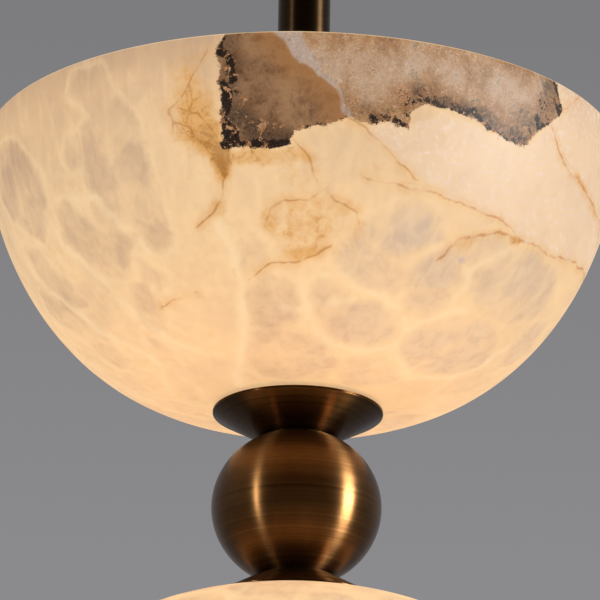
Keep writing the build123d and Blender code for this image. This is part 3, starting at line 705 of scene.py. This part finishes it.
def alabaster(name, glow_strength):
    """Alabaster with a painted glow: cloudy cream with cells, white and golden veins, and a mineral
    patch.
    """
    material, tree, shader = new_material(name)

    def read(name):
        return add_node(tree, "Attribute", attribute_name=name).outputs["Fac"]

    mineral, brown, streak, ore, gold = map(read, ("mineral", "brown", "streak", "ore", "gold"))

    # Noises from broad to fine: scale per metre, detail, roughness and distortion. The
    # fields read from the vertices are in millimetres from a drawn line or outline.
    place = object_place(tree)
    cloud = noise(place, 22.0, 3.0, 0.55, 0.3)
    fading = noise(place, 48.0, 3.0, 0.55)
    drift = noise(place, 85.0, 4.0, 0.6, 0.5)
    silk = noise(object_place(tree, (1.0, 1.0, 0.30)), 170.0, 6.0, 0.62, 0.6)
    rusting = noise(place, 210.0, 5.0, 0.7, 0.8)
    ragged = noise(place, 330.0, 6.0, 0.72)
    fibre = noise(place, 420.0, 6.0, 0.68, 0.5)
    needles = noise(place, 620.0, 4.0, 0.62, 2.2)
    grain = noise(place, 1300.0, 4.0, 0.65)

    # Painted glow: darker near the rim and brightest near the lamps, as the light from the bulbs
    # inside falls; it goes into the base colour as well as the glow.
    stone = Layers(ramp(read("down"), [
        (0.0, (208, 171, 133)),
        (0.08, (230, 191, 146)),
        (0.24, (243, 205, 157)),
        (0.45, (250, 210, 159)),
        (0.72, (254, 210, 157)),
        (1.0, (250, 204, 146)),
    ]))
    stone.through((0.88, 0.88, 0.92, 1), mask(cloud, 0.60, 0.34), 0.8)
    stone.through((0.93, 0.935, 0.96, 1), mask(silk, 0.60, 0.34))
    stone.over((255, 226, 180), mask(silk, 0.52, 0.72), 0.16)

    # Cells: a little dimmer and greyer inside, with a brighter seam round them.
    # The side in the photograph has drawn cells, and the rest has a warped cell pattern.
    cells_per_metre = 29.0
    swirl = add_node(tree, "TexNoise", {0: place, "Scale": 26.0, "Detail": 3.0})
    bent = {0: swirl.outputs[1], 1: (0.5, 0.5, 0.5)}
    bent = add_node(tree, "VectorMath", bent, operation="SUBTRACT").outputs[0]
    warped = {0: bent, 1: (0.034, 0.034, 0.034), 2: object_place(tree, (1.0, 1.0, 0.72))}
    warped = add_node(tree, "VectorMath", warped, operation="MULTIPLY_ADD").outputs[0]
    tiling = {0: warped, "Scale": cells_per_metre}
    tile = add_node(tree, "TexVoronoi", tiling, feature="DISTANCE_TO_EDGE")
    tile_edge = calc("MULTIPLY_ADD", tile.outputs["Distance"], mm / cells_per_metre, -5.0)
    chosen = add_node(tree, "TexVoronoi", tiling).outputs["Color"]
    chosen = add_node(tree, "SeparateColor", {0: chosen}).outputs[0]
    tile_tone = calc("MULTIPLY_ADD", mask(chosen, 0.15, 0.8), 0.75, 0.25)
    drawn = read("drawn")
    edge = add_node(tree, "Mix", {0: drawn, 2: tile_edge, 3: read("cells")}).outputs[0]
    tone = add_node(tree, "Mix", {0: drawn, 2: tile_tone, 3: read("tone")}).outputs[0]
    edge = shifted(edge, (drift, 6.5), (ragged, 2.4))
    cell = product(mask(edge, -4.6, 2.0), tone)
    cell = product(cell, calc("MULTIPLY_ADD", mask(fading, 0.36, 0.60), 0.72, 0.40))
    stone.over((255, 222, 172), mask(edge, -7.0, -4.0), mask(edge, -1.6, -4.0), 0.22)
    side = add_node(tree, "SeparateXYZ", {0: place}).outputs[0]
    grey = mixed(mask(side, -0.03, 0.05), (0.82, 0.81, 0.86, 1), (0.86, 0.90, 1.04, 1))
    stone.through(grey, cell, 0.88)
    stone.through((0.94, 0.945, 0.96, 1), cell, mask(silk, 0.56, 0.36))

    # White veins, wide and faint with a brighter core.
    bright = shifted(calc("SUBTRACT", read("white"), read("white_half")), (drift, 4.0))
    stone.over((255, 222, 172), mask(bright, 6.0, 0.0), 0.18)
    stone.over((255, 230, 186), mask(bright, 2.0, -1.6), 0.30)

    # The pale zone at the right, clouded with fine white fibres.
    pale = mask(shifted(read("pale"), (ragged, 1.6)), -0.7, 1.3)
    stone.over((234, 203, 172), pale, 0.55)
    stone.over((252, 234, 214), mask(fibre, 0.48, 0.66), pale, 0.42)
    stone.over((220, 186, 152), mask(drift, 0.50, 0.36), pale, 0.26)

    # Golden hazes with freckles, stains along the golden veins, and the veins.
    haze = shifted(read("haze"), (ragged, 1.6), (drift, 1.1))
    stone.over((222, 162, 84), mask(haze, 0.05, 1.1), 0.78)
    stone.over((140, 88, 40), mask(haze, 0.85, 1.75), 0.62)
    stone.over((150, 92, 44), mask(ragged, 0.50, 0.60), mask(haze, 0.55, 1.2), 0.38)
    broken = mask(drift, 0.36, 0.62)
    stain = mask(shifted(gold, (ragged, 6.0)), 5.0, 0.0)
    stone.over((224, 162, 84), stain, calc("MULTIPLY_ADD", broken, 0.26, 0.10))
    gap = calc("ABSOLUTE", read("gold_side"))
    vein = mask(calc("SUBTRACT", shifted(gap, (ragged, 1.1)), read("gold_half")), 0.6, -0.3)
    near = mask(gold, 3.0, 1.4)
    stone.over((168, 106, 44), vein, near, calc("MULTIPLY_ADD", broken, 0.50, 0.12))

    # The mineral patch has a frosted part that turns rusty toward its edge.
    patch = shifted(mineral, (ragged, 5.0), (grain, 2.0))
    stone.over((255, 214, 152), mask(patch, -6.0, -0.5), 0.14)
    body = Layers(ramp(blend((cloud, 0.4), (drift, 0.35), (fibre, 0.25)), [
        (0.34, (150, 116, 84)),
        (0.50, (184, 149, 117)),
        (0.68, (208, 182, 158)),
    ]))
    rust = mask(shifted(mineral, (drift, 22.0)), 21.0, 3.0)
    body.over(ramp(blend((drift, 0.5), (ragged, 0.5)), [
        (0.34, (112, 72, 38)),
        (0.50, (164, 112, 62)),
        (0.68, (218, 174, 116)),
    ]), rust, 0.74)

    # Left of that it is clear and brown, warmer toward the pale streak between them.
    umber = Layers(ramp(blend((drift, 0.45), (cloud, 0.3), (fibre, 0.25)), [
        (0.38, (98, 68, 46)),
        (0.50, (150, 112, 79)),
        (0.61, (184, 142, 101)),
    ]))
    umber.over((164, 112, 64), mask(streak, -16.0, 0.0), 0.7)
    body.over(umber.seen, mask(shifted(brown, (ragged, 0.6)), -0.5, 0.5))
    body.over((182, 164, 152), mask(shifted(streak, (ragged, 1.0)), -1.0, 1.6), 0.70)

    # Fine needles lie in it, pale ones in the frosted part and dark ones all over.
    frosted = mask(shifted(brown, (drift, 3.0)), 1.0, -3.0)
    body.over((222, 200, 182), mask(needles, 0.54, 0.66), frosted, 0.42)
    body.over((118, 84, 56), mask(needles, 0.47, 0.36), 0.30)

    # Grey smoke and black ore lie over that, with amber grains in the ore.
    smoke = mask(shifted(read("smoke"), (drift, 1.8), (fibre, 1.6)), 0.05, 0.95)
    body.over(ramp(needles, [(0.38, (54, 42, 33)), (0.66, (104, 80, 60))]), smoke, 0.84)
    density = shifted(ore, (drift, 0.45))
    speck = blend((ragged, 0.62), (grain, 0.38))
    black = mask(calc("MULTIPLY_ADD", density, 0.34, speck), 0.66, 0.72)
    black_colour = ramp(grain, [(0.40, (26, 20, 17)), (0.70, (60, 44, 33))])
    body.over(black_colour, black, mask(density, 0.04, 0.26))
    amber_colour = ramp(ragged, [(0.40, (150, 92, 48)), (0.62, (214, 164, 120))])
    body.over(amber_colour, mask(rusting, 0.555, 0.60), mask(density, 0.1, 0.5), 0.85)
    stone.over(body.seen, mask(patch, -0.35, 0.55))

    # A few ore specks lie just outside its edge.
    strewn = product(mask(patch, -3.4, -0.4), mask(speck, 0.585, 0.64))
    stone.over((112, 70, 40), strewn, mask(ore, 0.0, 0.3), 0.75)

    # Small blue-grey clouds, and faint brown dots all over.
    stone.over((168, 160, 172), mask(read("blue"), 0.2, 1.0), 0.5)
    stone.over((196, 146, 96), mask(product(grain, ragged), 0.135, 0.105), 0.10)

    # Painted light: the hollow side is lit from close by, so its glow is brighter and plainer.
    hollow = mixed(product(read("inside"), 0.6), stone.seen, linear(255, 226, 176))
    fill(shader, {
        "Base Color": stone.seen,
        "Emission Color": hollow,
        "Emission Strength": glow_strength,
        "Roughness": ramp(fibre, [(0.3, 0.42), (0.8, 0.60)]),
        "Specular IOR Level": 0.12,
        "Normal": relief(ragged, 0.15, 0.0004),
    })
    return material


drawn_limit = 96
drawn_fade = 10


def stone_piece(name, node, way, material, marks):
    """One shade, modelled on its CAD node's place; way is 1 opening up and -1 opening down."""
    low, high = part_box(node)
    rim = high[2] if way > 0 else low[2]
    outline = [(r, rim - way * z) for r, z in shade_outline()]
    back_half, front_half = (180, 110), (180, 350)
    piece = turned(name, outline, material, back_half, front_half)
    place = StonePlace(piece, rim, way)
    store(piece, "down", place.run / run_down(mm * stone_depth))
    store(piece, "inside", place.inside)
    gap, side, half = place.to_lines(marks["gold"])
    store(piece, "gold", gap)
    store(piece, "gold_side", side)
    store(piece, "gold_half", half)
    gap, side, half = place.to_lines(marks["white"])
    store(piece, "white", gap)
    store(piece, "white_half", half)
    for label in ("pale", "brown", "mineral", "streak"):
        store(piece, label, place.to_edge(marks[label]))
    for label in ("ore", "smoke"):
        store(piece, label, place.along_lines(marks[label]))
    for label in ("haze", "blue"):
        store(piece, label, place.in_ovals(marks[label]))

    # Cells are drawn round the front only, and only on the upper shade.
    edge, tone = place.to_cells(marks["cells"])
    drawn = np.clip((drawn_limit - np.abs(place.turn)) / drawn_fade, 0, 1)
    store(piece, "cells", edge)
    store(piece, "tone", tone)
    store(piece, "drawn", drawn if marks["cells"] else 0 * drawn)
    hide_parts(node)
    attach(piece, "pendant")


# Both shades glow with painted light; the lower one's glow is weaker, as painted shade.
upper_alabaster = alabaster("upper_alabaster", 0.74)
shaded_lower_alabaster = alabaster("shaded_lower_alabaster", 0.66)
stone_piece("upper_stone_shade", "upper_bowl", 1, upper_alabaster, upper_marks)
stone_piece("lower_stone_shade", "lower_dome", -1, shaded_lower_alabaster, lower_marks)

# Saucers
# Two turned bronze cones with a narrow band at the rim. Each seats a stone on its
# flat side and a neck of the ball on its small end, with a spigot inside the neck.
tube_hole = 0.0052
saucer_radius = 0.0397
saucer_band = 0.0015
saucer_dish = 0.001
saucer_pad = 0.028
saucer_spigot = 0.003
neck_radius = 0.017
neck_spigot_radius = 0.0123
saucer_edge = 0.0003
saucer_groove = 0.0002


def saucer_outline(top, way):
    """A saucer's outline from its flat side's height; way is 1 with the cone below it."""
    low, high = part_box("upper_saucer")
    cone = high[2] - low[2] - saucer_spigot
    groove = saucer_band / 2
    edge_centre = (saucer_radius - saucer_edge, -saucer_edge)
    points = [
        (tube_hole, 0.0),
        (saucer_pad + saucer_dish, 0.0),
        (saucer_pad + 2 * saucer_dish, saucer_dish),
        (saucer_radius - 2 * saucer_dish, saucer_dish),
        (saucer_radius - saucer_dish, 0.0),
        *((r, -z) for r, z in arc(edge_centre, saucer_edge, 90, 0, 4)),
        (saucer_radius, groove - saucer_groove),
        (saucer_radius - 1.5 * saucer_groove, groove),
        (saucer_radius, groove + saucer_groove),
        (saucer_radius, saucer_band - saucer_edge),
        (saucer_radius - saucer_edge, saucer_band),
        (neck_radius, cone),
        (neck_spigot_radius, cone),
        (neck_spigot_radius, cone + saucer_spigot),
        (tube_hole, cone + saucer_spigot),
    ]
    return [(r, top - way * z) for r, z in points]


# The saucers have a darker copy of the bronze: painted shade.
shaded_saucer_bronze = bronze_finish(
    "shaded_saucer_bronze", lines=2600, rough=0.29, swing=0.05,
    dark=(62, 42, 23), warm=(112, 80, 46), pull=0.9,
)
for node, way in (("upper_saucer", 1), ("lower_saucer", -1)):
    low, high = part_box(node)
    flat_side = high[2] if way > 0 else low[2]
    outline = saucer_outline(flat_side, way)
    saucer = turned(f"turned_{node}", outline, shaded_saucer_bronze, (360, 180))
    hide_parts(node)
    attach(saucer, "pendant")

# Ball
# A hollow ball spun in bronze, a little flattened, open at both necks and brushed
# round its axis on the lathe.
ball_low, ball_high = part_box("ball")
ball_centre = (ball_low[2] + ball_high[2]) / 2
ball_radius = 0.0394
ball_half_height = 0.0368
ball_neck = 0.0332
ball_wall = 0.0016


def oval_side(radius, half_height, steps):
    """Points down one side of an oval about the ball's centre, between the two necks."""
    end = math.asin(ball_neck / half_height)
    angles = [end - 2 * end * step / steps for step in range(steps + 1)]
    return [(radius * math.cos(a), ball_centre + half_height * math.sin(a)) for a in angles]


ball_outside = oval_side(ball_radius, ball_half_height, 72)
ball_inside = oval_side(ball_radius - ball_wall, ball_half_height - ball_wall, 24)[::-1]
ball_bronze = bronze_finish("ball_bronze", lines=2600, rough=0.33, swing=0.07, pull=0.94)
ball = turned("spun_ball", ball_outside + ball_inside, ball_bronze, (360, 192))
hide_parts("ball")
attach(ball, "pendant")

# Downrod
# A plain 25 mm tube with a thin wall, drawn, in a darker copy of the bronze: painted shade.
rod_low, rod_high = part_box("down_rod")
rod_radius = 0.0125
rod_bore = 0.011
shaded_rod_bronze = bronze_finish(
    "shaded_rod_bronze", lines=140, rough=0.32, swing=0.04, dark=(42, 31, 20), warm=(74, 55, 34),
)
rod_outline = [
    (rod_radius, rod_low[2]), (rod_radius, rod_high[2]),
    (rod_bore, rod_high[2]), (rod_bore, rod_low[2]),
]
rod = turned("drawn_downrod", rod_outline, shaded_rod_bronze, (360, 96))
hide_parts("down_rod")
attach(rod, "pendant")

# Steel fittings
# The bracket, stem, nuts, flanges and lamp carriers are zinc plated steel, with
# faint rolling marks and small clouds in the plating.


def finish_nodes(material, *names):
    """Gives CAD nodes a material in all their slots."""
    for name in names:
        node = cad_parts[name]
        if not node.material_slots:
            node.data.materials.append(material)
        for held in node.material_slots:
            held.material = material


def zinc_plating(name, dark, light, thread_pitch=0.0):
    """Zinc plated steel; a pitch in metres gives it a fine thread round Z as bump."""
    material, tree, shader = new_material(name)
    place = object_place(tree)
    clouds = noise(place, 160.0, 5.0, 0.65, 0.6)
    specks = noise(place, 2400.0, 3.0, 0.6)
    rolled = noise(object_place(tree, (0.12, 1.0, 1.0)), 1800.0, 4.0, 0.6)
    height = blend((rolled, 0.6), (specks, 0.4))
    depth = 0.00003
    if thread_pitch:
        place = add_node(tree, "TexCoord").outputs["Object"]
        parts = add_node(tree, "SeparateXYZ", {0: place}).outputs
        bearing = calc("ARCTAN2", parts["Y"], parts["X"])
        turns = calc("MULTIPLY", parts["Z"], 2 * math.pi / thread_pitch)
        height = calc("SINE", calc("ADD", turns, bearing))
        depth = thread_pitch * 0.22
    fill(shader, {
        "Metallic": 1.0,
        "Base Color": ramp(clouds, [(0.32, dark), (0.68, light)]),
        "Roughness": ramp(blend((rolled, 0.5), (clouds, 0.5)), [(0.3, 0.27), (0.7, 0.42)]),
        "Normal": relief(height, 0.6, depth),
    })
    return material


zinc_dark = (168, 172, 176)
zinc_light = (206, 208, 210)
plated_steel = zinc_plating("zinc_plated_steel", zinc_dark, zinc_light)
threaded_steel = zinc_plating("threaded_steel", zinc_dark, zinc_light, thread_pitch=0.001)
finish_nodes(
    plated_steel,
    "ceiling_bracket", "stem_nuts", "block_screw", "earth_screw", "stop_pin", "trunnion_screws",
    "knuckle_washers", "rod_end_plug", "upper_lamp_carrier", "lower_lamp_carrier",
    "upper_inner_flange", "lower_inner_flange", "clamp_nut", "ball_spacer",
    "upper_holder_screws", "lower_holder_screws",
)
finish_nodes(threaded_steel, "hanger_stem", "through_tube")

# Swivel and knuckle
# The collar, ring nut, yoke, knuckle, rod cap and finial are turned and milled in
# the same patinated bronze as the rod, with finer brushing.
fittings_bronze = bronze_finish("fittings_bronze", lines=1600, rough=0.30, swing=0.05)
finish_nodes(
    fittings_bronze,
    "canopy_collar", "swivel_yoke", "swivel_ring_nut", "knuckle", "rod_cap", "finial",
)

# Lamps
# Ceramic holders on the carriers take plug-in bulbs with a ceramic foot and a
# frosted glass capsule. The bulbs are lit.


def moulded(name, dark, light, rough_low, rough_high, scale, depth=0.00003):
    """A plain fired, moulded or extruded material with small clouds and a fine skin."""
    material, tree, shader = new_material(name)
    place = object_place(tree)
    clouds = noise(place, scale, 5.0, 0.6)
    skin = noise(place, scale * 9, 4.0, 0.6)
    fill(shader, {
        "Base Color": ramp(clouds, [(0.35, dark), (0.65, light)]),
        "Roughness": ramp(skin, [(0.3, rough_low), (0.7, rough_high)]),
        "Normal": relief(skin, 0.4, depth),
    })
    return material


def frosted_glow():
    """Lit frosted glass: warm white, a little deeper toward the edge of the capsule."""
    material, tree, shader = new_material("lit_frosted_glass")
    frost = noise(object_place(tree), 1400.0, 5.0, 0.6)
    rim = add_node(tree, "LayerWeight", {"Blend": 0.35}).outputs["Facing"]
    warm = [(0.0, (255, 244, 214)), (0.75, (255, 222, 168)), (1.0, (240, 190, 128))]
    fill(shader, {
        "Emission Color": ramp(rim, warm),
        "Emission Strength": 1.25,
        "Base Color": ramp(frost, [(0.3, (226, 214, 192)), (0.7, (242, 232, 214))]),
        "Roughness": 0.42,
        "Normal": relief(frost, 0.35, 0.00004),
    })
    return material


holder_white = ((214, 208, 196), (232, 228, 218))
foot_white = ((226, 224, 218), (240, 239, 235))
sleeve_grey = ((196, 194, 188), (214, 212, 206))
sheath_grey = ((188, 186, 178), (206, 204, 198))
rubber_black = ((26, 25, 24), (40, 39, 37))
plastic_white = ((222, 220, 212), (236, 235, 229))
holder_ceramic = moulded("unglazed_ceramic", *holder_white, 0.62, 0.78, 420.0, 0.00005)
foot_ceramic = moulded("fired_white_ceramic", *foot_white, 0.38, 0.52, 420.0)
sleeve = moulded("silicone_sleeve", *sleeve_grey, 0.45, 0.60, 300.0)
sheath = moulded("cable_sheath", *sheath_grey, 0.48, 0.62, 300.0)
rubber = moulded("black_rubber", *rubber_black, 0.62, 0.80, 520.0, 0.00006)
block_plastic = moulded("terminal_plastic", *plastic_white, 0.36, 0.48, 260.0)
screw_brass = zinc_plating("terminal_brass", (196, 160, 92), (222, 190, 122))
glowing_glass = frosted_glow()
for half in ("upper", "lower"):
    finish_nodes(sleeve, f"{half}_holder_wires")
    finish_nodes(rubber, f"{half}_inner_gasket", f"{half}_outer_gasket")
    for number in (1, 2, 3):
        finish_nodes(holder_ceramic, f"{half}_lamp_holder_{number}")
        finish_nodes(foot_ceramic, f"{half}_bulb_base_{number}")
        finish_nodes(glowing_glass, f"{half}_bulb_glass_{number}")
finish_nodes(sheath, "canopy_lead", "rod_cable")
finish_nodes(block_plastic, "terminal_block")
finish_nodes(screw_brass, "terminal_screws")

# Light
# A soft room: one soft light on the right for the whole object, a tall strip with a
# bright box in it on either side for the metal, and a grey surround, dark in front.


def area_light(name, bearing, rise, distance, size, size_up, strength, on_stone=False):
    """A rectangular light that faces the ball, placed in degrees from the front and metres.

    One that isn't on the stone is seen in reflections only.
    """
    aim = Vector((0, 0, ball_centre))
    turn, lift = math.radians(bearing), math.radians(rise)
    flat = math.cos(lift)
    way = Vector((math.sin(turn) * flat, -math.cos(turn) * flat, math.sin(lift)))
    bpy.ops.object.light_add(type="AREA", location=aim + way * distance)
    lamp = bpy.context.object
    lamp.name = name
    lamp.data.shape = "RECTANGLE"
    lamp.data.size = size
    lamp.data.size_y = size_up
    lamp.data.energy = strength * size * size_up * math.pi
    lamp.rotation_euler = way.to_track_quat("Z", "Y").to_euler()
    lamp.visible_diffuse = on_stone


area_light("right_soft_light", 70, 12, 1.8, 0.6, 1.0, 1.2, on_stone=True)
area_light("right_box", 73, 2, 1.6, 0.40, 0.45, 74.0)
area_light("right_strip", 74, 2, 1.62, 0.46, 2.1, 3.6)
area_light("left_box", -55, 2, 1.6, 0.08, 0.50, 44.0)
area_light("left_strip", -55, 2, 1.62, 0.09, 2.1, 4.5)

world = bpy.data.worlds.new("room")
bpy.context.scene.world = world
world.use_nodes = True
tree = world.node_tree
tree.nodes.clear()
direction = add_node(tree, "TexCoord").outputs["Generated"]
parts = add_node(tree, "SeparateXYZ", {0: direction}).outputs
backdrop = ramp(parts["Z"], [(0.27, (141, 140, 143)), (0.40, (124, 123, 125))])
in_front = mask(calc("MULTIPLY", parts["Y"], -1.0), 0.45, 0.75)
surround = mixed(in_front, linear(140, 139, 141), linear(14, 12, 11))
rays = add_node(tree, "LightPath").outputs
shown = mixed(rays["Is Glossy Ray"], linear(150, 150, 152), surround)
shown = mixed(rays["Is Camera Ray"], shown, backdrop)
background = add_node(tree, "Background", {"Color": shown, "Strength": 1.0})
add_node(tree, "OutputWorld", {"Surface": background.outputs[0]})

# Floor
# A wide pale floor well below the light. It can't be seen from underneath, so a
# camera that looks up from below it still sees the light.
floor_level = -1.75
floor_size = 60
bpy.ops.object.select_all(action="DESELECT")
bpy.ops.mesh.primitive_plane_add(size=floor_size, location=(0, 0, floor_level))
floor = bpy.context.object
floor.name = "floor"
pale_floor, tree, shader = new_material("pale_floor")
fill(shader, {"Base Color": linear(190, 189, 190), "Roughness": 0.9})
beneath = add_node(tree, "NewGeometry").outputs["Backfacing"]
clear = add_node(tree, "BsdfTransparent").outputs[0]
surface = add_node(tree, "MixShader", {0: beneath, 1: shader.outputs[0], 2: clear})
fill(tree.nodes["Material Output"], {"Surface": surface.outputs[0]})
floor.data.materials.append(pale_floor)

bpy.context.scene.view_settings.view_transform = "Standard"
